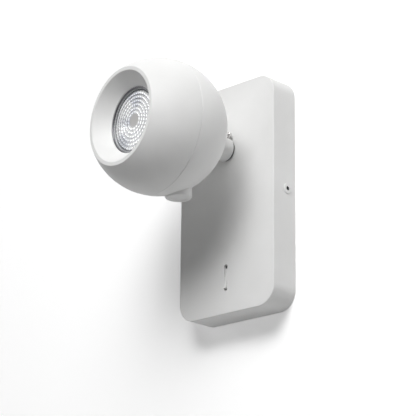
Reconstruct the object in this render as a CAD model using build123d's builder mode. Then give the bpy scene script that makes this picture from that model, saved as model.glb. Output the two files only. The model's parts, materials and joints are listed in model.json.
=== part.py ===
"""Pivoting spotlight wall light: a ball-shaped head on a swivel stem and a slim wall box.

Millimetres. The wall is the plane Y = 0, +Z is up and the light faces -Y.
The origin is the middle of the wall box's back. "Out" is the distance from the wall.
"""
from build123d import *
import os
from math import asin, cos, degrees, pi, radians, sin, sqrt

os.makedirs("parts", exist_ok=True)

# ---------------------------------------------------------------- driving sizes
# wall box
box_height = 180.0
box_width = 96.0
box_depth = 24.0
box_corner = 15.0
cover_side = 2.5            # side walls of the cover
cover_front = 2.5           # front wall of the cover
cover_edge = 0.7            # round along the cover's front edge
plate_gap = 0.3             # between the mounting plate and the cover's inside
plate_thickness = 1.6
tab_width = 18.0            # bent side tabs of the mounting plate
tab_reach = 14.0            # how far out the tabs come

# fastening to the wall and cable entry
wall_screw_spacing = 60.0
wall_slot_length = 12.0
wall_slot_width = 5.0
cable_z = 14.0
cable_hole_radius = 8.0
cable_bore_radius = 4.5
grommet_flange = 1.8        # how far the flange stands past the hole, and how thick it is

# screws through the sides of the cover
side_screw_out = 9.2
side_screw_up = 0.5
side_screw_proud = 0.9      # how far the head stands out
side_screw_bevel = 0.35
side_screw_radius = 2.0
side_screw_head = 4.0
side_screw_length = 10.0
side_socket_flats = 3.0
side_socket_depth = 2.4

# swivel stem
stem_from_top = 52.0        # from the box's top to the stem's axis
stem_radius = 9.2
stem_length = 12.8
stem_chamfer = 0.5
tube_radius = 5.0
tube_bore = 4.0
tube_tail = 12.0            # out position of the tube's end in the box
friction_thickness = 1.4
friction_radius = 8.4
wave_thickness = 0.8
wave_radius = 8.0
stop_thickness = 1.2
stop_radius = 8.6
stop_tab_reach = 12.6
stop_tab_width = 4.0
stop_peg_radius = 1.5
stop_peg_from_axis = 11.5
stop_peg_past = 1.0         # how far the peg stands past the stop washer
nut_flats = 14.0
nut_thickness = 3.0
lock_screw_angle = 29.0     # from straight up, towards +X
lock_screw_from_back = 1.8  # of the screw's axis, from the stem's back
lock_screw_radius = 1.25
lock_screw_neck = 1.3       # the head stands this clear of the stem
lock_screw_head = 1.85
lock_screw_height = 3.2
lock_screw_round = 1.0      # of the head's top
lock_screw_under = 0.5      # round under the head
lock_socket_flats = 1.3
lock_socket_depth = 1.4

# head
pivot_out = 75.0            # the upright pivot axis, from the wall
pivot_to_ball = 20.0        # from the pivot axis to the ball's centre
head_turn = 6.5             # degrees the head is turned towards -X
swing_limit = 40.0          # degrees each way from straight ahead
ball_radius = 51.0
shell_wall = 2.0
seam_back = 0.5             # the seam lies behind the ball's centre
spigot_depth = 4.0
spigot_wall = 1.8
mouth_radius = 34.3
lip_width = 2.8             # flat front of the lip, from the mouth out to the ball
mouth_round = 0.6
lip_thickness = 1.6         # of the shell's lip round the mouth
seam_round = 0.45           # along the outer edges of the seam
baffle_wall = 1.6
baffle_rim = 1.2            # flange that centres the baffle behind the lip
recess_depth = 11.0         # of the cone, from the mouth to the lamp's bore
bore_radius = 25.1
bore_length = 10.0
slot_clearance = 0.7        # round the tube where it passes the rear shell

# pivots
boss_radius = 10.0
boss_round = 2.0
boss_length = 11.7          # from the ball's radius in to the boss's inner face
boss_bore_depth = 7.5       # from the ball's radius in to the seat of the screw's head
plug_radius = 6.0
plug_thickness = 2.4
plug_sink = 0.3
pivot_screw_radius = 2.5
pivot_head_radius = 4.2
pivot_head_height = 3.2
pivot_socket_flats = 4.0
pivot_socket_depth = 2.0
pivot_nut_flats = 8.0
pivot_nut_thickness = 3.0
pivot_washer_radius = 7.0
pivot_washer_thickness = 1.3

# yoke
yoke_thickness = 2.0
yoke_width = 12.0
yoke_clearance = 0.8        # between the swinging lampholder and the tube's end
yoke_base_half = 12.0
yoke_arm_front = 7.0
yoke_arm_rear = 7.0
yoke_bend = 3.0
yoke_nut_thickness = 2.0
tube_nose = 0.5             # the tube's end stands past the yoke's nut

# lamp
lamp_behind = 2.0           # front of the lamp, behind the cone's inner edge
lamp_length = 46.5          # without its pins
lamp_rim_height = 3.5
lamp_neck_radius = 14.0
lamp_gap = 0.25             # round the lamp in its bore
lamp_shoulder = 1.0         # the bore's step that the lamp's rim rests on
lamp_step = 1.2             # behind the lamp's rim
lamp_neck_length = 14.0
lamp_neck_flare = 4.0
lamp_flare_length = 6.0
lamp_wall = 0.6             # between the optic and the lens seat
lens_radius = 23.3
lens_thickness = 1.7
lens_recess = 0.6
lens_crown = 0.5
board_radius = 19.4
board_thickness = 1.4
board_behind_face = 12.1
led_radius = 4.2
led_height = 0.6
optic_radius = 21.6
optic_foot_radius = 9.2
optic_gap = 0.3             # over the chip, and behind the lens at the rim
optic_recess = 2.0
ring_wire = 0.6
pin_spacing = 10.0
pin_neck = 1.6
pin_head = 2.5
pin_neck_length = 4.7
pin_head_length = 2.8
holder_width = 17.5
holder_height = 24.0
holder_depth = 14.5
holder_round = 3.0
socket_clearance = 0.3
contact_thickness = 0.6

# switch
switch_from_bottom = 27.8   # from the box's bottom to the middle of the rocker's slot
slot_length = 20.6
slot_width = 3.4
rocker_length = 15.7
rocker_side_gap = 0.35
rocker_height = 3.6
rocker_sunk = 0.4           # its front, when level, behind the cover's front
rocker_drop = 0.8           # its pivot, below the middle of the slot
rocker_hub = 2.3
rocker_lever = 3.6
rocker_lever_width = 1.6
rocker_round = 0.5
rocker_tilt = 7.0           # degrees each way from level
rocker_pivot_depth = 5.0    # pivot axis behind the cover's front
switch_width = 12.0
switch_height = 27.0
switch_depth = 12.0
switch_pocket = 8.8         # depth of the pocket the rocker moves in
pocket_end_gap = 0.3
switch_pin_radius = 0.75
switch_pin_length = 9.0
ear_reach = 7.0
ear_thickness = 1.6
ear_width = 7.0
post_radius = 3.0
post_length = 4.0
post_spare = 0.5            # below the screws' tips
contact_width = 2.8
contact_length = 5.0
contact_spread = 3.2        # of the switch's two contacts, from the middle
contact_strip = 0.8
contact_rise = 2.5          # of the contacts above the housing's back
contact_foot = 3.0          # how deep the contacts sit in the housing

# terminals and cable clamp
terminal_z = -19.0
terminal_pitch = 11.0
terminal_count = 3
terminal_height = 17.0
terminal_depth = 14.5
moulded_corner = 1.0        # of the terminal block and the switch's housing
insert_radius = 2.6
insert_bore = 1.6
terminal_screw_radius = 1.5
terminal_screw_sink = 1.0   # below the block's front
terminal_screw_tip = 0.65   # from the barrel's axis
terminal_slot_width = 0.6
terminal_slot_depth = 0.8
clamp_z = -3.0
clamp_width = 26.0
clamp_height = 8.0
clamp_thickness = 1.5
clamp_rise = 6.5
clamp_margin = 0.6          # beside the heads of the clamp's screws
earth_x = 27.0
earth_z = 26.0
small_screw = 1.5           # shank radius of the small screws
small_head = 2.7
small_head_height = 1.8
earth_screw_radius = 2.0
earth_head_radius = 3.8
earth_head_height = 2.6
earth_washer_radius = 4.8
earth_washer_thickness = 0.8
lead_radius = 0.9
lead_straight = 0.28        # part of the switch leads' drop that is straight at each end
lead_bend = 0.3             # bend radius, as a part of the drop
tube_lead_radius = 1.2
tube_lead_tail = 5.0        # how far the tube's leads come out into the box
tube_lead_short = 0.5       # how far they end inside the tube's front

# fits
thread_fit = 0.05           # radial, a screw in its thread or hole
running_fit = 0.06          # radial, a shaft that turns in its bore
loose_fit = 0.1             # radial, a piece dropped into its seat
wall_clear = 0.2            # screw tips stop this far from the wall
cut_past = 1.0              # how far a cut runs past the face it starts from

# ---------------------------------------------------------------- derived places
inner_out = box_depth - cover_front
stem_z = box_height / 2 - stem_from_top
switch_z = -box_height / 2 + switch_from_bottom
aim = Vector(-sin(radians(head_turn)), -cos(radians(head_turn)), 0)
side = Vector(cos(radians(head_turn)), -sin(radians(head_turn)), 0)
pivot_point = Vector(0, -pivot_out, stem_z)
ball_centre = pivot_point + aim * pivot_to_ball
stem_back = box_depth + friction_thickness
mouth = sqrt(ball_radius ** 2 - (mouth_radius + lip_width) ** 2)
bowl_floor = mouth - recess_depth
bore_back = bowl_floor - bore_length
lamp_face = bowl_floor - lamp_behind
lamp_back = lamp_face - lamp_length
rim_back = lamp_face - lamp_rim_height
boss_inner = ball_radius - boss_length
boss_bore_floor = ball_radius - boss_bore_depth
holder_reach = holder_depth - lamp_back - pivot_to_ball
holder_swing = sqrt(holder_reach ** 2 + (holder_width / 2) ** 2)
yoke_arm = boss_inner - pivot_washer_thickness - yoke_thickness / 2
yoke_reach = holder_swing + yoke_clearance + yoke_nut_thickness + tube_nose
yoke_base_out = pivot_out - yoke_reach - yoke_thickness
tube_end = pivot_out - holder_swing - yoke_clearance
lamp_radius = bore_radius - lamp_gap
ring_ahead = lamp_face + ring_wire + loose_fit
pocket_half = slot_width / 2 + rocker_side_gap
pocket_length = slot_length + 2 * pocket_end_gap
rocker_half = slot_width / 2 - rocker_side_gap
ear_pitch = switch_height / 2 + ear_reach / 2
terminal_length = terminal_count * terminal_pitch


# ---------------------------------------------------------------- helpers
def wall_plane(out, x=0.0, z=0.0):
    """A plane parallel to the wall that faces the room."""
    return Plane(origin=(x, -out, z), x_dir=(1, 0, 0), z_dir=(0, -1, 0))


def aim_plane(ahead, across=0.0, up=0.0):
    """A plane square to the light's aim, so far ahead of the ball's centre."""
    place = ball_centre + aim * ahead + side * across + Vector(0, 0, up)
    return Plane(origin=place, x_dir=side, z_dir=aim)


def pivot_plane(height, end):
    """A plane square to the pivot axis. end is 1 at the top and -1 at the bottom."""
    return Plane(origin=pivot_point + Vector(0, 0, end * height), x_dir=(1, 0, 0), z_dir=(0, 0, end))


def bar(plane, radius, height, mode=Mode.ADD):
    """A round bar that stands on the plane."""
    with BuildSketch(plane) as outline:
        Circle(radius)
    extrude(outline.sketch, amount=height, mode=mode)


def block(plane, width, height, depth, corner=0.0, mode=Mode.ADD):
    """A block that stands on the plane, with rounded corners where a radius is given."""
    with BuildSketch(plane) as outline:
        if corner > 0:
            RectangleRounded(width, height, corner)
        else:
            Rectangle(width, height)
    extrude(outline.sketch, amount=depth, mode=mode)


def hexagon(plane, flats, height, mode=Mode.ADD):
    """A hexagonal bar that stands on the plane."""
    with BuildSketch(plane) as outline:
        RegularPolygon(flats / 2, 6, major_radius=False)
    extrude(outline.sketch, amount=height, mode=mode)


def turned(points, origin, direction, mode=Mode.ADD):
    """Turns a profile of (distance along, radius) points about a line."""
    across = (0, 0, 1) if abs(Vector(direction).Z) < 0.5 else (0, -1, 0)
    with BuildSketch(Plane(origin=origin, x_dir=direction, z_dir=across)) as outline:
        with BuildLine():
            Polyline(*points, close=True)
        make_face()
    revolve(outline.sketch, axis=Axis(origin, direction), mode=mode)


def slotted_screw(seat, shank_radius, shank_length, head_radius, head_height):
    """A cheese-head screw. The seat plane lies under its head and faces out of it."""
    bar(seat, head_radius, head_height)
    bar(-seat, shank_radius, shank_length)
    slot_depth = head_height * 0.45
    block(seat.offset(head_height - slot_depth), head_radius * 0.3, head_radius * 2.2, slot_depth,
          mode=Mode.SUBTRACT)


def nut(plane, flats, height, bore):
    """A hexagonal nut that stands on the plane."""
    hexagon(plane, flats, height)
    bar(plane, bore, height, mode=Mode.SUBTRACT)


def washer(plane, radius, bore, thickness):
    """A flat ring that stands on the plane."""
    bar(plane, radius, thickness)
    bar(plane, bore, thickness, mode=Mode.SUBTRACT)


def export(piece, name):
    """Labels a finished piece and writes its STEP file."""
    piece.part.label = name
    export_step(piece.part, f"parts/{name}.step")


# ---------------------------------------------------------------- wall box
inner_corner = max(box_corner - cover_side, 0.5)
plate_width = box_width - 2 * (cover_side + plate_gap)
plate_height = box_height - 2 * (cover_side + plate_gap)
plate_corner = max(inner_corner - plate_gap, 0.5)
sides = (-1, 1)
wall_screw_places = [(end * wall_screw_spacing / 2, 0) for end in sides]

# A thin-walled box, open at the wall, with a hole for the tube and a slot for the rocker.
with BuildPart() as box_cover:
    block(wall_plane(0), box_width, box_height, box_depth, box_corner)
    fillet(box_cover.faces().sort_by(Axis.Y)[0].edges(), min(cover_edge, cover_front * 0.8))
    block(wall_plane(0), box_width - 2 * cover_side, box_height - 2 * cover_side, inner_out,
          inner_corner, mode=Mode.SUBTRACT)
    bar(wall_plane(inner_out, z=stem_z), tube_radius + running_fit, cover_front, mode=Mode.SUBTRACT)
    with BuildSketch(wall_plane(inner_out, z=switch_z)) as rocker_slot:
        SlotOverall(slot_length, slot_width, rotation=90)
    extrude(rocker_slot.sketch, amount=cover_front, mode=Mode.SUBTRACT)
    for end in sides:
        post_place = wall_plane(inner_out - post_length, z=switch_z + end * ear_pitch)
        bar(post_place, post_radius, post_length)
        bar(post_place, small_screw + thread_fit, post_length, mode=Mode.SUBTRACT)
        turned([(0, 0), (0, side_screw_head + loose_fit),
                (side_screw_head - side_screw_radius, side_screw_radius + loose_fit),
                (cover_side, side_screw_radius + loose_fit), (cover_side, 0)],
               (end * box_width / 2, -side_screw_out, side_screw_up), (-end, 0, 0),
               mode=Mode.SUBTRACT)
    # the peg that stops the stem's turn
    peg_length = wave_thickness + stop_thickness + stop_peg_past
    bar(wall_plane(inner_out - peg_length, z=stem_z - stop_peg_from_axis), stop_peg_radius, peg_length)
export(box_cover, "box_cover")

# Sheet steel against the wall, with slots for the wall screws and two tabs bent forwards.
with BuildPart() as mounting_plate:
    block(wall_plane(0), plate_width, plate_height, plate_thickness, plate_corner)
    with BuildSketch(wall_plane(0)) as plate_holes:
        with Locations(*wall_screw_places):
            SlotOverall(wall_slot_length, wall_slot_width)
        with Locations((0, cable_z)):
            Circle(cable_hole_radius)
    extrude(plate_holes.sketch, amount=plate_thickness, mode=Mode.SUBTRACT)
    for end in sides:
        tab_x = end * (plate_width - plate_thickness) / 2
        block(wall_plane(0, x=tab_x), plate_thickness, tab_width, tab_reach)
        screw_hole = Plane(origin=(end * plate_width / 2, -side_screw_out, side_screw_up),
                           x_dir=(0, 0, 1), z_dir=(-end, 0, 0))
        bar(screw_hole, side_screw_radius + thread_fit, plate_thickness, mode=Mode.SUBTRACT)
    terminal_screw_x = terminal_pitch / 2
    clamp_screw_x = clamp_width / 2 - small_head - clamp_margin
    screw_holes = [(end * terminal_screw_x, terminal_z) for end in sides]
    screw_holes += [(end * clamp_screw_x, clamp_z) for end in sides]
    for x, z in screw_holes:
        bar(wall_plane(0, x, z), small_screw + thread_fit, plate_thickness, mode=Mode.SUBTRACT)
    bar(wall_plane(0, earth_x, earth_z), earth_screw_radius + thread_fit, plate_thickness,
        mode=Mode.SUBTRACT)
export(mounting_plate, "mounting_plate")

# Raised countersunk screws with hexagonal sockets, through the cover's sides into the tabs.
with BuildPart() as cover_screws:
    cone = side_screw_head - side_screw_radius
    for end in sides:
        seat = Vector(end * box_width / 2, -side_screw_out, side_screw_up)
        turned([(-side_screw_proud, 0), (-side_screw_proud, side_screw_head - side_screw_bevel),
                (0, side_screw_head), (cone, side_screw_radius),
                (side_screw_length, side_screw_radius), (side_screw_length, 0)], seat, (-end, 0, 0))
        socket = Plane(origin=seat, x_dir=(0, 0, 1), z_dir=(-end, 0, 0)).offset(-side_screw_proud)
        hexagon(socket, side_socket_flats, side_socket_depth, mode=Mode.SUBTRACT)
export(cover_screws, "cover_screws")

# A rubber ring in the plate's cable hole.
with BuildPart() as cable_grommet:
    bar(wall_plane(0, z=cable_z), cable_hole_radius, plate_thickness)
    bar(wall_plane(plate_thickness, z=cable_z), cable_hole_radius + grommet_flange, grommet_flange)
    bar(wall_plane(0, z=cable_z), cable_bore_radius, plate_thickness + grommet_flange,
        mode=Mode.SUBTRACT)
export(cable_grommet, "cable_grommet")

# A bridge that clamps the wall cable, on two feet.
with BuildPart() as cable_clamp:
    foot = 2 * (clamp_width / 2 - clamp_screw_x)
    block(wall_plane(plate_thickness, z=clamp_z), clamp_width, clamp_height,
          clamp_rise + clamp_thickness)
    block(wall_plane(plate_thickness, z=clamp_z), clamp_width - 2 * foot, clamp_height, clamp_rise,
          mode=Mode.SUBTRACT)
    for end in sides:
        bar(wall_plane(plate_thickness, end * clamp_screw_x, clamp_z), small_screw + loose_fit,
            clamp_rise + clamp_thickness, mode=Mode.SUBTRACT)
export(cable_clamp, "cable_clamp")

with BuildPart() as clamp_screws:
    clamp_top = plate_thickness + clamp_rise + clamp_thickness
    for end in sides:
        slotted_screw(wall_plane(clamp_top, end * clamp_screw_x, clamp_z), small_screw,
                      clamp_top - wall_clear, small_head, small_head_height)
export(clamp_screws, "clamp_screws")

# A three-way terminal block: a moulded body, brass barrels and their clamp screws.
way_places = [(way - (terminal_count - 1) / 2) * terminal_pitch for way in range(terminal_count)]
barrel_out = plate_thickness + terminal_depth / 2
screw_rows = [terminal_z + end * terminal_height / 4 for end in sides]
screw_top = plate_thickness + terminal_depth
with BuildPart() as terminal_block:
    block(wall_plane(plate_thickness, z=terminal_z), terminal_length, terminal_height,
          terminal_depth, moulded_corner)
    for x in way_places:
        barrel_end = Plane(origin=(x, -barrel_out, terminal_z - terminal_height / 2), z_dir=(0, 0, 1))
        bar(barrel_end, insert_radius + thread_fit, terminal_height, mode=Mode.SUBTRACT)
        for z in screw_rows:
            bar(wall_plane(barrel_out, x, z), terminal_screw_radius + loose_fit, terminal_depth / 2,
                mode=Mode.SUBTRACT)
    for end in sides:
        bar(wall_plane(plate_thickness, end * terminal_screw_x, terminal_z), small_screw + loose_fit,
            terminal_depth, mode=Mode.SUBTRACT)
        bar(wall_plane(screw_top - small_head_height, end * terminal_screw_x, terminal_z),
            small_head + loose_fit, small_head_height, mode=Mode.SUBTRACT)
export(terminal_block, "terminal_block")

with BuildPart() as terminal_inserts:
    for x in way_places:
        barrel_end = Plane(origin=(x, -barrel_out, terminal_z - terminal_height / 2), z_dir=(0, 0, 1))
        washer(barrel_end, insert_radius, insert_bore, terminal_height)
        for z in screw_rows:
            bar(wall_plane(barrel_out, x, z), terminal_screw_radius + thread_fit,
                insert_radius * 1.5, mode=Mode.SUBTRACT)
export(terminal_inserts, "terminal_inserts")

with BuildPart() as terminal_screws:
    for x in way_places:
        for z in screw_rows:
            screw_tip = wall_plane(barrel_out + terminal_screw_tip, x, z)
            screw_length = screw_top - terminal_screw_sink - barrel_out - terminal_screw_tip
            bar(screw_tip, terminal_screw_radius, screw_length)
            block(screw_tip.offset(screw_length - terminal_slot_depth), terminal_slot_width,
                  terminal_screw_radius * 2.2, terminal_slot_depth, mode=Mode.SUBTRACT)
export(terminal_screws, "terminal_screws")

with BuildPart() as terminal_fixing_screws:
    fixing_seat = screw_top - small_head_height
    for end in sides:
        slotted_screw(wall_plane(fixing_seat, end * terminal_screw_x, terminal_z), small_screw,
                      fixing_seat - wall_clear, small_head, small_head_height)
export(terminal_fixing_screws, "terminal_fixing_screws")

# The earth screw clamps a serrated washer onto the plate.
with BuildPart() as earth_washer:
    washer(wall_plane(plate_thickness, earth_x, earth_z), earth_washer_radius,
           earth_screw_radius + loose_fit, earth_washer_thickness)
export(earth_washer, "earth_washer")

with BuildPart() as earth_screw:
    earth_seat = plate_thickness + earth_washer_thickness
    slotted_screw(wall_plane(earth_seat, earth_x, earth_z), earth_screw_radius,
                  earth_seat - wall_clear, earth_head_radius, earth_head_height)
export(earth_screw, "earth_screw")

# ---------------------------------------------------------------- switch
switch_back = inner_out - switch_depth
rocker_pivot = Vector(0, -(box_depth - rocker_pivot_depth), switch_z - rocker_drop)
pin_plane = Plane(origin=rocker_pivot - Vector(switch_pin_length / 2, 0, 0), x_dir=(0, 0, 1),
                  z_dir=(1, 0, 0))
contact_out = switch_back + contact_rise

# The housing has a deep pocket behind the slot and two ears for its screws.
with BuildPart() as switch_body:
    block(wall_plane(switch_back, z=switch_z), switch_width, switch_height, switch_depth,
          moulded_corner)
    block(wall_plane(inner_out - switch_pocket, z=switch_z), 2 * pocket_half, pocket_length,
          switch_pocket, mode=Mode.SUBTRACT)
    ear_out = inner_out - post_length - ear_thickness
    block(wall_plane(ear_out, z=switch_z), ear_width, switch_height + 2 * ear_reach,
          ear_thickness)
    block(wall_plane(ear_out, z=switch_z), 2 * pocket_half, pocket_length, ear_thickness,
          mode=Mode.SUBTRACT)
    for end in sides:
        bar(wall_plane(ear_out, z=switch_z + end * ear_pitch), small_screw + loose_fit,
            ear_thickness, mode=Mode.SUBTRACT)
        block(Plane(origin=(end * contact_spread, -contact_out,
                            switch_z + switch_height / 2 - contact_foot),
                    x_dir=(1, 0, 0), z_dir=(0, 0, 1)),
              contact_width, contact_strip, contact_foot, mode=Mode.SUBTRACT)
    bar(pin_plane, switch_pin_radius + thread_fit, switch_pin_length, mode=Mode.SUBTRACT)
export(switch_body, "switch_body")

with BuildPart() as switch_screws:
    for end in sides:
        seat = -wall_plane(ear_out, z=switch_z + end * ear_pitch)
        slotted_screw(seat, small_screw, ear_thickness + post_length - post_spare, small_head,
                      small_head_height)
export(switch_screws, "switch_screws")

with BuildPart() as switch_pivot_pin:
    bar(pin_plane, switch_pin_radius, switch_pin_length)
export(switch_pivot_pin, "switch_pivot_pin")

with BuildPart() as switch_contacts:
    for end in sides:
        foot_plane = Plane(origin=(end * contact_spread, -contact_out,
                                   switch_z + switch_height / 2 - contact_foot),
                           x_dir=(1, 0, 0), z_dir=(0, 0, 1))
        block(foot_plane, contact_width, contact_strip, contact_foot + contact_length)
export(switch_contacts, "switch_contacts")

# The rocker lies in the slot with its upper end pressed in. Its section is drawn level, in a
# plane that is tilted about the pivot pin: x runs along the rocker and y points out.
tilt = radians(rocker_tilt)
rocker_plane = Plane(origin=rocker_pivot, x_dir=(0, sin(tilt), cos(tilt)), z_dir=(1, 0, 0))
rocker_top = rocker_pivot_depth - rocker_sunk
with BuildPart() as switch_rocker:
    with BuildSketch(rocker_plane) as rocker_section:
        with Locations((0, rocker_top - rocker_height / 2)):
            RectangleRounded(rocker_length, rocker_height, rocker_round)
        Circle(rocker_hub)
        with Locations((0, -rocker_lever / 2)):
            Rectangle(rocker_lever_width, rocker_lever)
        Circle(switch_pin_radius + running_fit, mode=Mode.SUBTRACT)
    extrude(rocker_section.sketch, amount=rocker_half, both=True)
export(switch_rocker, "switch_rocker")

# Two leads from the terminal block's outer ways down to the switch's contacts.
lead_top = terminal_z - terminal_height / 2
lead_foot = switch_z + switch_height / 2 + contact_length
lead_drop = lead_top - lead_foot
with BuildPart() as switch_leads:
    for end in sides:
        way_x = end * terminal_pitch
        contact_x = end * contact_spread
        with BuildLine() as route:
            FilletPolyline((way_x, -barrel_out, lead_top),
                           (way_x, -barrel_out, lead_top - lead_drop * lead_straight),
                           (contact_x, -contact_out, lead_foot + lead_drop * lead_straight),
                           (contact_x, -contact_out, lead_foot),
                           radius=lead_drop * lead_bend)
        with BuildSketch(Plane(origin=(way_x, -barrel_out, lead_top), z_dir=(0, 0, -1))) as section:
            Circle(lead_radius)
        sweep(section.sketch, path=route.wires()[0])
lead_volume = 2 * pi * lead_radius ** 2 * route.wires()[0].length
print(f"switch leads: volume over section times length {switch_leads.part.volume / lead_volume:.4f}")
export(switch_leads, "switch_leads")

# ---------------------------------------------------------------- swivel stem
with BuildPart() as friction_washer:
    washer(wall_plane(box_depth, z=stem_z), friction_radius, tube_radius + thread_fit,
           friction_thickness)
export(friction_washer, "friction_washer")

# A plain collar on the tube, clamped to it by the lock screw.
lock_out = stem_back + lock_screw_from_back
lock_direction = Vector(sin(radians(lock_screw_angle)), 0, cos(radians(lock_screw_angle)))
lock_seat = Plane(
    origin=Vector(0, -lock_out, stem_z) + lock_direction * stem_radius,
    x_dir=(0, 1, 0), z_dir=lock_direction)
lock_shank = stem_radius - tube_radius
with BuildPart() as swivel_stem:
    bar(wall_plane(stem_back, z=stem_z), stem_radius, stem_length)
    chamfer(swivel_stem.edges().filter_by(GeomType.CIRCLE), stem_chamfer)
    bar(wall_plane(stem_back, z=stem_z), tube_radius + thread_fit, stem_length, mode=Mode.SUBTRACT)
    bar(-lock_seat, lock_screw_radius + thread_fit, lock_shank, mode=Mode.SUBTRACT)
export(swivel_stem, "swivel_stem")

with BuildPart() as stem_lock_screw:
    lock_head = lock_seat.offset(lock_screw_neck)
    bar(lock_head, lock_screw_head, lock_screw_height)
    head_rims = stem_lock_screw.edges().filter_by(GeomType.CIRCLE).sort_by(Axis.Z)
    fillet(head_rims[-1], lock_screw_round)
    fillet(head_rims[0], lock_screw_under)
    bar(-lock_head, lock_screw_radius, lock_screw_neck + lock_shank - thread_fit)
    hexagon(lock_head.offset(lock_screw_height - lock_socket_depth), lock_socket_flats,
            lock_socket_depth, mode=Mode.SUBTRACT)
export(stem_lock_screw, "stem_lock_screw")

with BuildPart() as threaded_tube:
    washer(wall_plane(tube_tail, z=stem_z), tube_radius, tube_bore, tube_end - tube_tail)
export(threaded_tube, "threaded_tube")

wave_out = inner_out - wave_thickness
stop_out = wave_out - stop_thickness
with BuildPart() as wave_washer:
    washer(wall_plane(wave_out, z=stem_z), wave_radius, tube_radius + thread_fit, wave_thickness)
export(wave_washer, "wave_washer")

# The tab of this washer meets the cover's peg at both ends of the stem's turn.
with BuildPart() as stop_washer:
    bar(wall_plane(stop_out, z=stem_z), stop_radius, stop_thickness)
    block(wall_plane(stop_out, z=stem_z + stop_tab_reach / 2), stop_tab_width, stop_tab_reach,
          stop_thickness)
    bar(wall_plane(stop_out, z=stem_z), tube_radius + thread_fit, stop_thickness,
        mode=Mode.SUBTRACT)
export(stop_washer, "stop_washer")

with BuildPart() as stem_nuts:
    for place in (1, 2):
        nut_out = stop_out - place * nut_thickness - (place - 1) * thread_fit
        nut(wall_plane(nut_out, z=stem_z), nut_flats, nut_thickness, tube_radius + thread_fit)
export(stem_nuts, "stem_nuts")

# A bent strip: the base stands behind the lampholder and the arms reach the pivots.
yoke_base = -pivot_out + yoke_reach + yoke_thickness / 2
yoke_line = [(-pivot_out - yoke_arm_front, yoke_arm), (-pivot_out + yoke_arm_rear, yoke_arm),
             (yoke_base, yoke_base_half)]
yoke_line += [(y, -z) for y, z in reversed(yoke_line)]
with BuildPart() as yoke:
    with BuildSketch(Plane.YZ) as yoke_section:
        with BuildLine():
            FilletPolyline(*[(y, stem_z + z) for y, z in yoke_line], radius=yoke_bend)
        trace(line_width=yoke_thickness)
    extrude(yoke_section.sketch, amount=yoke_width / 2, both=True)
    bar(wall_plane(yoke_base_out, z=stem_z), tube_radius + thread_fit, yoke_thickness,
        mode=Mode.SUBTRACT)
    for end in sides:
        bar(pivot_plane(yoke_arm - yoke_thickness / 2, end), pivot_screw_radius + thread_fit,
            yoke_thickness, mode=Mode.SUBTRACT)
export(yoke, "yoke")

with BuildPart() as yoke_nuts:
    for out in (yoke_base_out - yoke_nut_thickness, yoke_base_out + yoke_thickness):
        nut(wall_plane(out, z=stem_z), nut_flats, yoke_nut_thickness, tube_radius + thread_fit)
export(yoke_nuts, "yoke_nuts")

arm_inside = yoke_arm - yoke_thickness / 2
arm_outside = yoke_arm + yoke_thickness / 2
with BuildPart() as pivot_washers:
    for end in sides:
        washer(pivot_plane(arm_outside, end), pivot_washer_radius, pivot_screw_radius + thread_fit,
               pivot_washer_thickness)
export(pivot_washers, "pivot_washers")

with BuildPart() as pivot_nuts:
    for end in sides:
        nut(pivot_plane(arm_inside - pivot_nut_thickness, end), pivot_nut_flats,
            pivot_nut_thickness, pivot_screw_radius + thread_fit)
export(pivot_nuts, "pivot_nuts")

with BuildPart() as pivot_screws:
    pivot_shank = boss_bore_floor - arm_inside + pivot_nut_thickness
    for end in sides:
        seat = pivot_plane(boss_bore_floor, end)
        bar(seat, pivot_head_radius, pivot_head_height)
        bar(-seat, pivot_screw_radius, pivot_shank)
        hexagon(seat.offset(pivot_head_height - pivot_socket_depth), pivot_socket_flats,
                pivot_socket_depth, mode=Mode.SUBTRACT)
export(pivot_screws, "pivot_screws")

# Two leads lie side by side at the bottom of the tube's bore.
lead_ring = tube_bore - tube_lead_radius - loose_fit
lead_apart = tube_lead_radius + loose_fit
lead_low = sqrt(max(lead_ring ** 2 - lead_apart ** 2, 0))
with BuildPart() as tube_leads:
    for end in sides:
        bar(wall_plane(tube_tail - tube_lead_tail, end * lead_apart, stem_z - lead_low),
            tube_lead_radius, tube_end - tube_tail + tube_lead_tail - tube_lead_short)
export(tube_leads, "tube_leads")

# ---------------------------------------------------------------- head
head_profile = Plane(origin=ball_centre, x_dir=aim, z_dir=(0, 0, 1))
aim_axis = Axis(ball_centre, aim)
pivot_axis = Axis(pivot_point, (0, 0, 1))
shell_inside = ball_radius - shell_wall
far = 2 * ball_radius
seam_edge = (-seam_back, sqrt(ball_radius ** 2 - seam_back ** 2))
spigot_radius = sqrt(shell_inside ** 2 - (seam_back + spigot_depth) ** 2) - loose_fit

# How far the tube's edge reaches sideways in the rear shell at the end of the swing.
limit = radians(swing_limit)
edge_term = (pivot_to_ball ** 2 + tube_radius ** 2 - ball_radius ** 2
             - 2 * pivot_to_ball * tube_radius * sin(limit))
along_tube = -pivot_to_ball * cos(limit) + sqrt((pivot_to_ball * cos(limit)) ** 2 - edge_term)
slot_half_length = along_tube * sin(limit) + tube_radius * cos(limit) + slot_clearance
slot_half_height = tube_radius + slot_clearance

# The conical recess: its radius grows evenly from the lamp's bore to the mouth.
flare = (mouth_radius - bore_radius) / (mouth - bowl_floor)
lip_back = mouth - lip_thickness
lip_back_radius = mouth_radius - flare * lip_thickness
shell_radius_at_lip = sqrt(shell_inside ** 2 - lip_back ** 2)

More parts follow.
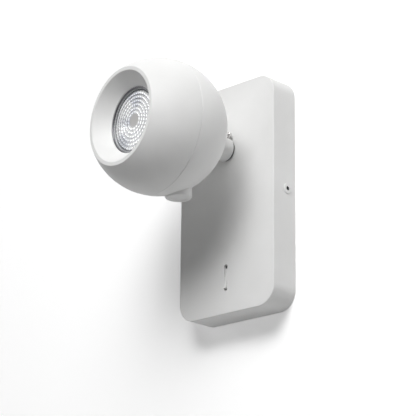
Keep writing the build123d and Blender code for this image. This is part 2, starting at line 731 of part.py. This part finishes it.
# Front half of the ball, with a lip round its mouth. In the sections of the head x is the
# distance ahead of the ball's centre and y the distance from the aim's axis.
with BuildPart() as front_shell:
    with BuildSketch(head_profile) as front_section:
        Circle(ball_radius)
        Circle(shell_inside, mode=Mode.SUBTRACT)
        with BuildLine():
            Polyline((lip_back, lip_back_radius), (mouth, mouth_radius), (mouth, far),
                     (lip_back, far), close=True)
        make_face()
        Circle(ball_radius, mode=Mode.INTERSECT)
        with BuildLine():
            Polyline((lip_back, 0), (lip_back, lip_back_radius), (mouth, mouth_radius),
                     (mouth, far), (far, far), (far, 0), close=True)
        make_face(mode=Mode.SUBTRACT)
        with Locations(((spigot_depth - seam_back) / 2, spigot_radius)):
            Rectangle(spigot_depth + seam_back, shell_wall, align=(Align.CENTER, Align.MIN))
        with Locations((-seam_back - far / 2, 0)):
            Rectangle(far, 2 * far, mode=Mode.SUBTRACT)
        with Locations((-seam_back, spigot_radius)):
            Rectangle(2 * spigot_depth, spigot_wall, align=(Align.CENTER, Align.MAX))
        with Locations((0, -far / 2)):
            Rectangle(2 * far, far, mode=Mode.SUBTRACT)
        fillet(front_section.vertices().sort_by_distance(seam_edge)[0], seam_round)
        fillet(front_section.vertices().sort_by(Axis.X)[-2:], mouth_round)
    revolve(front_section.sketch, axis=aim_axis)
export(front_shell, "front_shell")

# The baffle: the white cone round the lamp and the bore that holds the lamp's rim. Its rim
# is bonded behind the shell's lip.
baffle_thick = baffle_wall * sqrt(1 + flare ** 2)
baffle_rim_radius = shell_radius_at_lip - loose_fit
with BuildPart() as lamp_baffle:
    with BuildSketch(head_profile) as baffle_section:
        with BuildLine():
            Polyline((bore_back, bore_radius - lamp_shoulder), (rim_back, bore_radius - lamp_shoulder),
                     (rim_back, bore_radius), (bowl_floor, bore_radius), (lip_back, lip_back_radius),
                     (lip_back, baffle_rim_radius), (lip_back - baffle_rim, baffle_rim_radius),
                     (lip_back - baffle_rim, lip_back_radius + baffle_thick - flare * baffle_rim),
                     (bowl_floor, bore_radius + baffle_thick),
                     (bore_back, bore_radius + baffle_thick), close=True)
        make_face()
        with Locations((ring_ahead, bore_radius)):
            Rectangle(2 * (ring_wire + loose_fit), ring_wire + 2 * loose_fit, mode=Mode.SUBTRACT)
    revolve(baffle_section.sketch, axis=aim_axis)
export(lamp_baffle, "lamp_baffle")

# Rear half of the ball, with the two pivot bosses and the slot that the tube sweeps through.
with BuildPart() as rear_shell:
    with BuildSketch(head_profile) as rear_section:
        Circle(ball_radius)
        Circle(shell_inside, mode=Mode.SUBTRACT)
        with Locations((far / 2 - seam_back, 0)):
            Rectangle(far, 2 * far, mode=Mode.SUBTRACT)
        with Locations((0, -far / 2)):
            Rectangle(2 * far, far, mode=Mode.SUBTRACT)
        fillet(rear_section.vertices().sort_by_distance(seam_edge)[0], seam_round)
    revolve(rear_section.sketch, axis=aim_axis)
    for end in sides:
        with BuildSketch(Plane(origin=pivot_point, x_dir=(1, 0, 0), z_dir=(0, -1, 0))) as boss_section:
            with BuildLine():
                Polyline((0, end * boss_inner), (boss_radius, end * boss_inner),
                         (boss_radius, end * ball_radius), (0, end * ball_radius), close=True)
            make_face()
            outer_corner = boss_section.vertices().sort_by_distance((boss_radius, end * ball_radius))[0]
            fillet(outer_corner, boss_round)
        revolve(boss_section.sketch, axis=pivot_axis)
        bar(pivot_plane(boss_inner, end), pivot_screw_radius + running_fit,
            boss_bore_floor - boss_inner, mode=Mode.SUBTRACT)
        bar(pivot_plane(boss_bore_floor, end), plug_radius, far, mode=Mode.SUBTRACT)
    with BuildSketch(aim_plane(-ball_radius - cut_past)) as tube_slot:
        SlotOverall(2 * slot_half_length, 2 * slot_half_height)
    slot_floor = ball_radius + 3 * cut_past - sqrt(shell_inside ** 2 - slot_half_length ** 2)
    extrude(tube_slot.sketch, amount=slot_floor, mode=Mode.SUBTRACT)
export(rear_shell, "rear_shell")

with BuildPart() as pivot_plugs:
    for end in sides:
        bar(pivot_plane(ball_radius - plug_sink - plug_thickness, end), plug_radius - loose_fit,
            plug_thickness)
export(pivot_plugs, "pivot_plugs")

# ---------------------------------------------------------------- lamp
board_front = lamp_face - board_behind_face + board_thickness
lens_back = lamp_face - lens_recess - lens_thickness
neck_front = lamp_back + lamp_neck_length
with BuildPart() as lamp_body:
    turned([(lamp_face, lens_radius + loose_fit), (lamp_face, lamp_radius), (rim_back, lamp_radius),
            (rim_back, lamp_radius - lamp_step),
            (neck_front + lamp_flare_length, lamp_neck_radius + lamp_neck_flare),
            (neck_front, lamp_neck_radius), (lamp_back, lamp_neck_radius), (lamp_back, 0),
            (board_front - board_thickness, 0),
            (board_front - board_thickness, board_radius + loose_fit),
            (board_front, board_radius + loose_fit), (lens_back, optic_radius + lamp_wall),
            (lens_back, lens_radius + loose_fit)], ball_centre, aim)
export(lamp_body, "lamp_body")

with BuildPart() as led_board:
    bar(aim_plane(board_front - board_thickness), board_radius, board_thickness)
    bar(aim_plane(board_front), led_radius, led_height)
export(led_board, "led_board")

# A clear collimator: it gathers the light in a small recess over the chip.
with BuildPart() as lamp_optic:
    optic_back = board_front + led_height + optic_gap
    turned([(optic_back, led_radius), (optic_back, optic_foot_radius),
            (lens_back - optic_gap, optic_radius), (lens_back - loose_fit, 0),
            (optic_back + optic_recess, 0), (optic_back + optic_recess, led_radius * 0.8)],
           ball_centre, aim)
export(lamp_optic, "lamp_optic")

with BuildPart() as lamp_lens:
    with BuildSketch(head_profile) as lens_section:
        with BuildLine():
            rim_front = lamp_face - lens_recess
            Polyline((rim_front, lens_radius), (lens_back, lens_radius), (lens_back, -lens_radius),
                     (rim_front, -lens_radius))
            ThreePointArc((rim_front, -lens_radius), (rim_front + lens_crown, 0),
                          (rim_front, lens_radius))
        make_face()
        with Locations((0, -far / 2)):
            Rectangle(2 * far, far, mode=Mode.SUBTRACT)
    revolve(lens_section.sketch, axis=aim_axis)
export(lamp_lens, "lamp_lens")

# An open wire ring sprung into a groove in front of the lamp.
with BuildPart() as lamp_retaining_ring:
    ring_centre = bore_radius - ring_wire / 2
    with BuildSketch(head_profile) as wire_section:
        with Locations((ring_ahead, ring_centre)):
            Circle(ring_wire)
    revolve(wire_section.sketch, axis=aim_axis, revolution_arc=348)
export(lamp_retaining_ring, "lamp_retaining_ring")

with BuildPart() as lamp_pins:
    for end in sides:
        pin_root = -aim_plane(lamp_back, up=end * pin_spacing / 2)
        bar(pin_root, pin_neck, pin_neck_length)
        bar(pin_root.offset(pin_neck_length), pin_head, pin_head_length)
export(lamp_pins, "lamp_pins")

socket_radius = pin_head + socket_clearance
socket_depth = pin_neck_length + pin_head_length + loose_fit
with BuildPart() as lampholder:
    block(-aim_plane(lamp_back), holder_width, holder_height, holder_depth, holder_round)
    for end in sides:
        bar(-aim_plane(lamp_back, up=end * pin_spacing / 2), socket_radius,
            socket_depth + contact_thickness, mode=Mode.SUBTRACT)
export(lampholder, "lampholder")

with BuildPart() as holder_contacts:
    for end in sides:
        bar(-aim_plane(lamp_back - socket_depth, up=end * pin_spacing / 2),
            socket_radius - loose_fit, contact_thickness)
export(holder_contacts, "holder_contacts")

# ---------------------------------------------------------------- clearances worth knowing
stop_angle = 180 - degrees(asin((stop_tab_width / 2 + stop_peg_radius) / stop_peg_from_axis))
print(f"turn stop at {stop_angle:.1f} degrees each way")
print(f"tube slot {2 * slot_half_length:.1f} x {2 * slot_half_height:.1f} mm")
print(f"lampholder swings within {holder_swing:.1f} mm, the tube ends at {pivot_out - tube_end:.1f} mm")
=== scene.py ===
import json
import bpy
import numpy as np
from mathutils import Matrix, Vector


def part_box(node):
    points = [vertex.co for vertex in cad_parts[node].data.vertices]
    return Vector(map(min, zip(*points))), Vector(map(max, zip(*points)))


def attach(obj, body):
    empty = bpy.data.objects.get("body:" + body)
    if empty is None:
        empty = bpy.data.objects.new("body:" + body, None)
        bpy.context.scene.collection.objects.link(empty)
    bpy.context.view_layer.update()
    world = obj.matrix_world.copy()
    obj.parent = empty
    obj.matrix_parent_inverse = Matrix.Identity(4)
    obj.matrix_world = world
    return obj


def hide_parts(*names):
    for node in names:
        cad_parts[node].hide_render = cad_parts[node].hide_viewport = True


# A white ball spotlight on a slim wall box: finishes, the lamp's optics, lights and camera
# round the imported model. Metres, +Z up, the wall at Y = 0 and the light facing -Y.
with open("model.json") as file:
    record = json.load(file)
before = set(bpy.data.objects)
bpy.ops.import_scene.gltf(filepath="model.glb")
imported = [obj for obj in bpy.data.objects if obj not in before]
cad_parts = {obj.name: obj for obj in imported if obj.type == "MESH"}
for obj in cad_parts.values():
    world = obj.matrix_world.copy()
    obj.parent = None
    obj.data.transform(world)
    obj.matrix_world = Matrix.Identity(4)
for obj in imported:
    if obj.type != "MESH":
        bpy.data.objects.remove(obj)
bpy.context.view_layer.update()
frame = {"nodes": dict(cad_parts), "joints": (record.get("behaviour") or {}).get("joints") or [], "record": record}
nodes = frame["nodes"]
scene = bpy.context.scene
print("frame loaded with", len(nodes), "nodes")

# where the head points, from the model's own pivot
head = {
    "turn": 6.5,                # degrees towards -X
    "pivotToBall": 0.020,
}
joints = {joint["name"]: joint for joint in frame["joints"]}
pivotPoint = Vector(joints["head_swing"]["pos_m"])
headTurn = np.radians(head["turn"])
aim = Vector((-np.sin(headTurn), -np.cos(headTurn), 0))
across = Vector((np.cos(headTurn), -np.sin(headTurn), 0))
ballCentre = pivotPoint + aim * head["pivotToBall"]


# camera: the place from which the photographed box, ball and mouth line up
photoView = {
    "azimuth": 44.0466,         # degrees round the light, from straight in front towards +X
    "elevation": -18.0584,      # the camera stands low and looks up
    "roll": 0.6342,
    "focalPixels": 1769.49,
    "framePixels": 416,
    "sensor": 36.0,
    # the origin seen from the camera: to the right, up and ahead
    "originRight": 0.0303318,
    "originUp": 0.0019033,
    "originAhead": 1.3497536,
}


def placeCamera(view):
    # back is the direction from the light to the camera; right and up are turned by the roll
    a, e, r = (np.radians(view[key]) for key in ("azimuth", "elevation", "roll"))
    back = Vector((np.sin(a) * np.cos(e), -np.cos(a) * np.cos(e), np.sin(e)))
    level = (-back).cross(Vector((0, 0, 1))).normalized()
    upright = level.cross(-back)
    right = level * np.cos(r) + upright * np.sin(r)
    up = upright * np.cos(r) - level * np.sin(r)
    place = -(right * view["originRight"] + up * view["originUp"] - back * view["originAhead"])
    data = bpy.data.cameras.new("photoCamera")
    data.sensor_width = view["sensor"]
    data.lens = view["focalPixels"] / view["framePixels"] * view["sensor"]
    data.clip_start = 0.01
    data.clip_end = 20
    camera = bpy.data.objects.new("photoCamera", data)
    turn = Matrix((right, up, back)).transposed().to_4x4()
    camera.matrix_world = Matrix.Translation(place) @ turn
    scene.collection.objects.link(camera)
    scene.camera = camera


placeCamera(photoView)
scene.view_settings.view_transform = "Standard"
print("camera placed")


# node helpers
def addNode(tree, kind, inputs=None, **settings):
    node = tree.nodes.new(kind)
    for key, value in settings.items():
        setattr(node, key, value)
    for key, value in (inputs or {}).items():
        if isinstance(value, bpy.types.NodeSocket):
            tree.links.new(value, node.inputs[key])
        else:
            node.inputs[key].default_value = value
    return node


def newMaterial(name, **sockets):
    material = bpy.data.materials.new(name)
    material.use_nodes = True
    tree = material.node_tree
    shader = tree.nodes["Principled BSDF"]
    for key, value in sockets.items():
        shader.inputs[key.replace("_", " ")].default_value = value
    return material, tree, shader


def objectPoint(tree):
    return addNode(tree, "ShaderNodeTexCoord").outputs["Object"]


def noise(tree, point, scale, detail=2.0, roughness=0.5):
    node = addNode(tree, "ShaderNodeTexNoise", {"Vector": point, "Scale": scale, "Detail": detail,
                                                "Roughness": roughness})
    return node.outputs[0]


def ramp(tree, factor, stops):
    # stops are (position, grey or colour) pairs
    node = addNode(tree, "ShaderNodeValToRGB", {0: factor})
    elements = node.color_ramp.elements
    while len(elements) < len(stops):
        elements.new(0.5)
    for element, (position, colour) in zip(elements, stops):
        element.position = position
        element.color = (colour, colour, colour, 1) if np.isscalar(colour) else (*colour, 1)
    return node.outputs["Color"]


def bump(tree, height, depth, strength=1.0, under=None):
    inputs = {"Height": height, "Distance": depth, "Strength": strength}
    if under is not None:
        inputs["Normal"] = under
    return addNode(tree, "ShaderNodeBump", inputs).outputs["Normal"]


def math(tree, operation, first, second=0.0):
    return addNode(tree, "ShaderNodeMath", {0: first, 1: second}, operation=operation).outputs[0]


def vectorMath(tree, operation, first, second=(0, 0, 0)):
    # the vector, or the number for a length or distance
    node = addNode(tree, "ShaderNodeVectorMath", {0: first, 1: second}, operation=operation)
    return node.outputs["Value" if operation in ("LENGTH", "DISTANCE") else "Vector"]


def mixColour(tree, share, first, second, blend="MIX"):
    sockets = {0: share, 6: first, 7: (*second, 1)}
    return addNode(tree, "ShaderNodeMix", sockets, data_type="RGBA", blend_type=blend).outputs[2]


# finishes
paint = {
    "light": (0.86, 0.86, 0.855),
    "shade": (0.82, 0.82, 0.812),
    "grainScale": 1500.0,       # powder coat grain, about 0.7 mm
    "grainDepth": 0.000012,
    "peelScale": 260.0,         # slow waves of the coat
    "peelDepth": 0.00003,
    "cloudScale": 28.0,         # slow change of tone
    "roughness": (0.42, 0.56),
}


def whitePaint():
    material, tree, shader = newMaterial("whitePaint", IOR=1.48, Specular_IOR_Level=0.3)
    point = objectPoint(tree)
    cloud = noise(tree, point, paint["cloudScale"], 3.0)
    grain = noise(tree, point, paint["grainScale"], 2.0)
    peel = noise(tree, point, paint["peelScale"], 1.0)
    tree.links.new(ramp(tree, cloud, [(0.3, paint["shade"]), (0.7, paint["light"])]),
                   shader.inputs["Base Color"])
    tree.links.new(ramp(tree, grain, [(0.3, paint["roughness"][0]), (0.7, paint["roughness"][1])]),
                   shader.inputs["Roughness"])
    waves = bump(tree, peel, paint["peelDepth"])
    tree.links.new(bump(tree, grain, paint["grainDepth"], under=waves), shader.inputs["Normal"])
    return material


def metal(name, light, dark, roughness, scale=(90.0, 90.0, 900.0), depth=0.000004):
    # fine streaks along Z with a slow change of tone
    material, tree, shader = newMaterial(name, Metallic=1.0)
    point = objectPoint(tree)
    streaks = addNode(tree, "ShaderNodeMapping", {"Vector": point, "Scale": scale}).outputs[0]
    fine = noise(tree, streaks, 6.0, 3.0)
    slow = noise(tree, point, 60.0, 2.0)
    tree.links.new(ramp(tree, slow, [(0.35, dark), (0.65, light)]), shader.inputs["Base Color"])
    tree.links.new(ramp(tree, fine, [(0.3, roughness[0]), (0.7, roughness[1])]),
                   shader.inputs["Roughness"])
    tree.links.new(bump(tree, fine, depth), shader.inputs["Normal"])
    return material


def moulded(name, light, dark, roughness, scale=900.0, depth=0.00001, **sockets):
    # moulded plastic or rubber: spark texture and a slow change of tone
    material, tree, shader = newMaterial(name, **sockets)
    point = objectPoint(tree)
    spark = noise(tree, point, scale, 3.0)
    slow = noise(tree, point, 45.0, 2.0)
    tree.links.new(ramp(tree, slow, [(0.3, dark), (0.7, light)]), shader.inputs["Base Color"])
    tree.links.new(ramp(tree, spark, [(0.3, roughness[0]), (0.7, roughness[1])]),
                   shader.inputs["Roughness"])
    tree.links.new(bump(tree, spark, depth), shader.inputs["Normal"])
    return material


finishes = {
    "white_paint": whitePaint(),
    "zinc_steel": metal("zincSteel", (0.66, 0.67, 0.68), (0.56, 0.57, 0.58), (0.28, 0.42)),
    "bright_steel": metal("brightNickel", (0.78, 0.77, 0.76), (0.70, 0.69, 0.68), (0.10, 0.18)),
    "spring_steel": metal("springSteel", (0.20, 0.20, 0.21), (0.13, 0.13, 0.14), (0.25, 0.38)),
    "brass": metal("brass", (0.80, 0.62, 0.30), (0.68, 0.50, 0.22), (0.22, 0.35)),
    "white_plastic": moulded("whitePlastic", (0.86, 0.86, 0.85), (0.82, 0.82, 0.81), (0.38, 0.5)),
    "dark_plastic": moulded("darkPlastic", (0.05, 0.05, 0.052), (0.035, 0.035, 0.036),
                            (0.45, 0.6)),
    "rubber": moulded("rubber", (0.045, 0.045, 0.045), (0.03, 0.03, 0.03), (0.65, 0.8), 1500.0),
    "nylon": moulded("naturalNylon", (0.80, 0.78, 0.71), (0.74, 0.72, 0.65), (0.35, 0.5)),
    "lead_sleeve": moulded("leadSleeve", (0.84, 0.82, 0.78), (0.76, 0.74, 0.70), (0.5, 0.7),
                           2200.0),
    "lamp_shell": moulded("lampShell", (0.80, 0.81, 0.82), (0.74, 0.75, 0.76), (0.2, 0.3)),
    "board": moulded("whiteBoard", (0.88, 0.88, 0.86), (0.84, 0.84, 0.82), (0.3, 0.4)),
    "ceramic": moulded("glazedCeramic", (0.85, 0.83, 0.77), (0.80, 0.78, 0.71), (0.12, 0.3),
                       1200.0),
}


# the lamp's clear front: rings of pillows round a plain middle
lens = {
    "middle": 0.0050,           # radius of the plain middle
    "rings": 6,
    "edge": 0.0226,             # where the rings end and the plain land begins
    "middleRows": 11,
    "rowsPerRing": 14,
    "columns": 720,
    "pillowLength": 0.0029,     # along a ring
    "pillowHeight": 0.0006,
    "pillowDip": 0.4,           # how much lower a pillow is at its ends
    "stagger": 2.1,             # radians that each ring's pillows are turned past the last ring's
    "middleRise": 0.0004,
    "crown": 0.0004,
    "sunk": 0.0002,             # of the land, below the front of the lamp's lens
    "roughness": (0.55, 0.09),  # of the plain middle, and of the rings
    "roughnessEdge": (0.9, 1.1),    # where the one passes into the other, in middles
    "silver": 0.70,             # share of light that the metallised optic sends back
    "crest": (0.90, 0.905, 0.91),
    # painted shade in the valleys between the rings, darker than the crests
    "valley": (0.40, 0.41, 0.44),
    "valleyWidth": 0.16,        # of a ring, on each side of the valley's bottom
    # painted shade: the grey plain middle stands for the dark inside behind it, the dark land for the shaded
    # groove round the lens
    "middleShade": (0.46, 0.455, 0.45),
    "landShade": (0.26, 0.265, 0.28),
    "shadeClouds": (0.62, 0.64, 0.70),     # cool clouds of painted shade that darken the rings at random
    "shadeCloudScale": 70.0,
    "shadeCloudStops": [(0.45, 0.0), (0.62, 0.75)],
}
ringWidth = (lens["edge"] - lens["middle"]) / lens["rings"]


def clearLens():
    # clear plastic over a bright optic, with painted shade: darker valleys between the rings, a grey plain middle
    # and a dark land, by the distance from the aim, which is |(point - ball centre) x aim|
    material, tree, shader = newMaterial("clearLens", IOR=1.5, Metallic=lens["silver"],
                                         Transmission_Weight=1.0)
    point = objectPoint(tree)
    offset = vectorMath(tree, "SUBTRACT", point, ballCentre)
    radius = vectorMath(tree, "LENGTH", vectorMath(tree, "CROSS_PRODUCT", offset, aim))
    rings = addNode(tree, "ShaderNodeMapRange", {"Value": radius, "From Min": lens["middle"],
                                                 "From Max": lens["middle"] + ringWidth}, clamp=False)
    fromValley = math(tree, "PINGPONG", rings.outputs[0], 0.5)
    # painted shade in the valleys between the rings
    tone = ramp(tree, fromValley, [(0.0, lens["valley"]), (lens["valleyWidth"], lens["crest"])])
    # cool clouds of painted shade darken the rings at random
    cloud = noise(tree, point, lens["shadeCloudScale"], 3.0)
    tone = mixColour(tree, ramp(tree, cloud, lens["shadeCloudStops"]), tone, lens["shadeClouds"], "MULTIPLY")
    # painted shade: a grey plain middle and a dark land
    tone = mixColour(tree, math(tree, "LESS_THAN", radius, lens["middle"]), tone, lens["middleShade"])
    tone = mixColour(tree, math(tree, "GREATER_THAN", radius, lens["edge"]), tone, lens["landShade"])
    tree.links.new(tone, shader.inputs["Base Color"])
    start, end = lens["roughnessEdge"]
    gloss = addNode(tree, "ShaderNodeMapRange", {"Value": radius, "From Min": lens["middle"] * start,
                                                 "From Max": lens["middle"] * end,
                                                 "To Min": lens["roughness"][0],
                                                 "To Max": lens["roughness"][1]})
    tree.links.new(gloss.outputs[0], shader.inputs["Roughness"])
    return material


finishes["lamp_clear"] = clearLens()

# the cover's side screws: white heads with painted shade in their sockets
sideScrew = {
    "socketReach": 0.0018,      # radius that holds the socket and not the head's edge
    "socketShade": 0.00025,            # the white ends and the painted shade begins this far inside the socket
    # near-black painted shade for the insides of the sockets
    "steel": (0.05, 0.05, 0.052),
}


def screwPaint():
    # white paint on the heads, and near-black painted shade inside their sockets
    material = whitePaint()
    material.name = "screwPaint"
    tree = material.node_tree
    shader = tree.nodes["Principled BSDF"]
    painted = shader.inputs["Base Color"].links[0].from_socket
    low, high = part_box("cover_screws")
    place = addNode(tree, "ShaderNodeSeparateXYZ", {0: objectPoint(tree)})
    sidewards = math(tree, "ABSOLUTE", place.outputs[0])
    deep = math(tree, "LESS_THAN", sidewards, high.x - sideScrew["socketShade"])
    flat = addNode(tree, "ShaderNodeCombineXYZ", {1: place.outputs[1], 2: place.outputs[2]})
    axis = (0, (low.y + high.y) / 2, (low.z + high.z) / 2)
    near = math(tree, "LESS_THAN", vectorMath(tree, "DISTANCE", flat.outputs[0], axis),
                sideScrew["socketReach"])
    # painted shade where the point lies deep in the socket and near its axis
    socketShade = math(tree, "MULTIPLY", deep, near)
    tree.links.new(mixColour(tree, socketShade, painted, sideScrew["steel"]), shader.inputs["Base Color"])
    return material


nodeFinishes = {"cover_screws": screwPaint()}
for part in frame["record"]["subparts"]:
    name = part["node"]
    if name in nodes:
        mesh = nodes[name].data
        mesh.materials.clear()
        mesh.materials.append(nodeFinishes.get(name, finishes[part["material_slot"]]))
print("finishes on", len(nodes), "nodes")


# meshes worked out with numpy
def headExtent(name):
    # how far ahead of the ball's centre a node begins and ends, and its largest radius
    mesh = nodes[name].data
    flat = np.empty(len(mesh.vertices) * 3)
    mesh.vertices.foreach_get("co", flat)
    place = flat.reshape(-1, 3) - np.array(ballCentre)
    ahead = place @ np.array(aim)
    radius = np.linalg.norm(place - ahead[:, None] * np.array(aim), axis=1)
    return ahead.min(), ahead.max(), radius.max()


def headPoints(ahead, radius, turn):
    # ball centre + ahead along the aim + radius times the direction at that turn about the aim
    upwards = np.array((0, 0, 1))
    out = np.cos(turn)[..., None] * np.array(across) + np.sin(turn)[..., None] * upwards
    return np.array(ballCentre) + ahead[..., None] * np.array(aim) + radius[..., None] * out


def gridFaces(rows, columns, closedRows=False):
    # quads between the rows of a grid whose columns close on themselves
    row = np.arange(rows if closedRows else rows - 1)[:, None]
    column = np.arange(columns)[None, :]
    below, above = row * columns, (row + 1) % rows * columns
    after = (column + 1) % columns
    quads = np.stack((below + column, above + column, above + after, below + after), axis=-1)
    return quads.reshape(-1, 4).tolist()


def addPiece(name, points, faces, body, finish):
    mesh = bpy.data.meshes.new(name)
    mesh.from_pydata(points.reshape(-1, 3).tolist(), [], faces)
    mesh.polygons.foreach_set("use_smooth", np.ones(len(mesh.polygons), dtype=bool))
    mesh.materials.append(finish)
    piece = bpy.data.objects.new(name, mesh)
    scene.collection.objects.link(piece)
    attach(piece, body)
    return piece


def lensHeight(radii, turn):
    # pillowHeight (1 - u^2) (1 - dip (1 - cos(n turn)) / 2), where u runs from -1 to 1 across a
    # ring and n is the ring's number of pillows; the middle is a low dome and the land is flat
    across = (radii - lens["middle"]) / ringWidth
    ring = np.clip(np.floor(across + 1e-6), 0, lens["rings"] - 1)
    u = 2 * (across - ring) - 1
    pillows = np.round(2 * np.pi * (lens["middle"] + (ring + 0.5) * ringWidth) / lens["pillowLength"])
    dip = 1 - lens["pillowDip"] * (1 - np.cos(pillows * turn + ring * lens["stagger"])) / 2
    ringed = lens["pillowHeight"] * np.clip(1 - u ** 2, 0, 1) * dip
    dome = lens["middleRise"] * np.clip(1 - (radii / lens["middle"]) ** 2, 0, 1)
    return np.where(radii > lens["middle"], np.where(radii > lens["edge"], 0, ringed), dome)


def buildLens():
    # the front is the crown, which falls with the square of the radius, and the height on it;
    # a cylinder and a flat back close it
    back, front, radius = headExtent("lamp_lens")
    columns = lens["columns"]
    inner = np.linspace(0, lens["middle"], lens["middleRows"] + 1)[1:]
    outer = np.linspace(lens["middle"], lens["edge"], lens["rings"] * lens["rowsPerRing"] + 1)[1:]
    radii = np.concatenate((inner, outer, [radius]))[:, None]
    turn = np.linspace(0, 2 * np.pi, columns, endpoint=False)[None, :]
    crown = lens["crown"] * (1 - (radii / radius) ** 2)
    ahead = front - lens["sunk"] + crown + lensHeight(radii, turn)
    surface = headPoints(ahead, radii + 0 * turn, turn + 0 * radii)
    backRim = headPoints(np.full((1, columns), back), np.full((1, columns), radius), turn)
    poles = np.array([ballCentre + aim * float(ahead[0, 0]), ballCentre + aim * back])
    points = np.concatenate((surface.reshape(-1, 3), backRim.reshape(-1, 3), poles))
    rows = len(radii) + 1
    faces = gridFaces(rows, columns)
    column = np.arange(columns)
    after = (column + 1) % columns
    frontPole, backPole, last = len(points) - 2, len(points) - 1, (rows - 1) * columns
    faces += np.stack((column * 0 + frontPole, column, after), axis=1).tolist()
    faces += np.stack((column * 0 + backPole, last + after, last + column), axis=1).tolist()
    piece = addPiece("lampFrontLens", points, faces, "head", finishes["lamp_clear"])
    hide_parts("lamp_lens")


# beads cast round the lamp's rim, outside the lens
rimBeads = {
    "count": 75,
    "radius": 0.0238,           # from the aim to the middle of a bead
    "beadRadius": 0.00045,
    "waist": 0.5,               # the least thickness between two beads
    "sink": 0.0001,             # of the beads' middles below the rim's face
    "stepsPerBead": 12,
    "sides": 12,
}
beadFinish = moulded("rimBeads", (0.62, 0.63, 0.65), (0.34, 0.345, 0.36), (0.12, 0.2))


def buildRimBeads():
    # a tube round the aim of thickness bead (1 - (1 - waist) (1 - cos(count turn)) / 2)
    front = headExtent("lamp_body")[1]
    steps = rimBeads["count"] * rimBeads["stepsPerBead"]
    turn = np.linspace(0, 2 * np.pi, steps, endpoint=False)[None, :]
    side = np.linspace(2 * np.pi, 0, rimBeads["sides"], endpoint=False)[:, None]
    narrowing = (1 - rimBeads["waist"]) * (1 - np.cos(rimBeads["count"] * turn)) / 2
    thick = rimBeads["beadRadius"] * (1 - narrowing)
    ahead = front - rimBeads["sink"] + thick * np.sin(side)
    radii = rimBeads["radius"] + thick * np.cos(side)
    points = headPoints(ahead, radii, turn + 0 * side)
    faces = gridFaces(rimBeads["sides"], steps, closedRows=True)
    addPiece("lampRimBeads", points, faces, "head", beadFinish)


buildLens()
buildRimBeads()
print("lens and rim built")


# wall and floor
studio = {
    "wallGap": 0.0004,          # behind the mounting plate
    "halfWidth": 2.5,
    "top": 2.0,
    "floor": -1.3,
    "floorReach": 4.0,
    "wallGrey": 0.85,
    "seenGrey": 1.0,            # of the wall where the camera sees it
    "lift": 0.30,               # added towards the camera, so that the lit wall is white
}


def seenRays(tree):
    # 1 for the rays that show the background: straight, in metal and through glass
    path = addNode(tree, "ShaderNodeLightPath")
    seen = path.outputs["Is Camera Ray"]
    for ray in ("Is Glossy Ray", "Is Transmission Ray"):
        seen = math(tree, "MAXIMUM", seen, path.outputs[ray])
    return seen


def studioMaterial():
    # a pale matt wall: its lit side glows a little for the camera, its rear side is clear
    material, tree, shader = newMaterial("studioWall", Roughness=0.9, Specular_IOR_Level=0.1)
    seen = seenRays(tree)
    grey = addNode(tree, "ShaderNodeMix", {"Factor": seen, "A": studio["wallGrey"],
                                           "B": studio["seenGrey"]})
    tree.links.new(grey.outputs[0], shader.inputs["Base Color"])
    glow = math(tree, "MULTIPLY", seen, studio["lift"])
    light = addNode(tree, "ShaderNodeEmission", {"Strength": glow})
    lit = addNode(tree, "ShaderNodeAddShader", {0: shader.outputs[0], 1: light.outputs[0]})
    clear = addNode(tree, "ShaderNodeBsdfTransparent")
    side = addNode(tree, "ShaderNodeNewGeometry").outputs["Backfacing"]
    both = addNode(tree, "ShaderNodeMixShader", {0: side, 1: lit.outputs[0], 2: clear.outputs[0]})
    tree.links.new(both.outputs[0], tree.nodes["Material Output"].inputs["Surface"])
    return material


def studioPlane(name, corners, material):
    mesh = bpy.data.meshes.new(name)
    mesh.from_pydata(corners, [], [(0, 1, 2, 3)])
    mesh.materials.append(material)
    plane = bpy.data.objects.new(name, mesh)
    scene.collection.objects.link(plane)
    return plane


def buildStudio():
    material = studioMaterial()
    half, top, floor = studio["halfWidth"], studio["top"], studio["floor"]
    wall, reach = studio["wallGap"], -studio["floorReach"]
    studioPlane("studioWall", [(-half, wall, floor), (half, wall, floor), (half, wall, top),
                               (-half, wall, top)], material)
    studioPlane("studioFloor", [(-half, reach, floor), (half, reach, floor), (half, wall, floor),
                                (-half, wall, floor)], material)


def buildWorld():
    # white where it is seen, and no light of its own
    world = bpy.data.worlds.new("studioWorld")
    world.use_nodes = True
    tree = world.node_tree
    background = tree.nodes["Background"]
    background.inputs["Color"].default_value = (1, 1, 1, 1)
    tree.links.new(seenRays(tree), background.inputs["Strength"])
    scene.world = world


# softboxes: azimuth and elevation in degrees as seen from the light, distance and size in metres
softboxes = {
    "softKey": {"azimuth": 27, "elevation": 36, "distance": 1.8, "size": 1.2, "power": 22.4},
    "hardKey": {"azimuth": 24, "elevation": 32, "distance": 1.79, "size": 0.6, "power": 7.8},
    "fillBox": {"azimuth": -60, "elevation": 12, "distance": 1.8, "size": 0.9, "power": 3.5},
}


def addSoftbox(name, box):
    a, e = np.radians(box["azimuth"]), np.radians(box["elevation"])
    away = Vector((np.sin(a) * np.cos(e), -np.cos(a) * np.cos(e), np.sin(e)))
    data = bpy.data.lights.new(name, "AREA")
    data.shape = "DISK"
    data.size = box["size"]
    data.energy = box["power"]
    light = bpy.data.objects.new(name, data)
    light.matrix_world = Matrix.Translation(away * box["distance"]) @ \
        away.to_track_quat("Z", "Y").to_matrix().to_4x4()
    scene.collection.objects.link(light)


buildStudio()
buildWorld()
for name, box in softboxes.items():
    addSoftbox(name, box)
print("studio built")
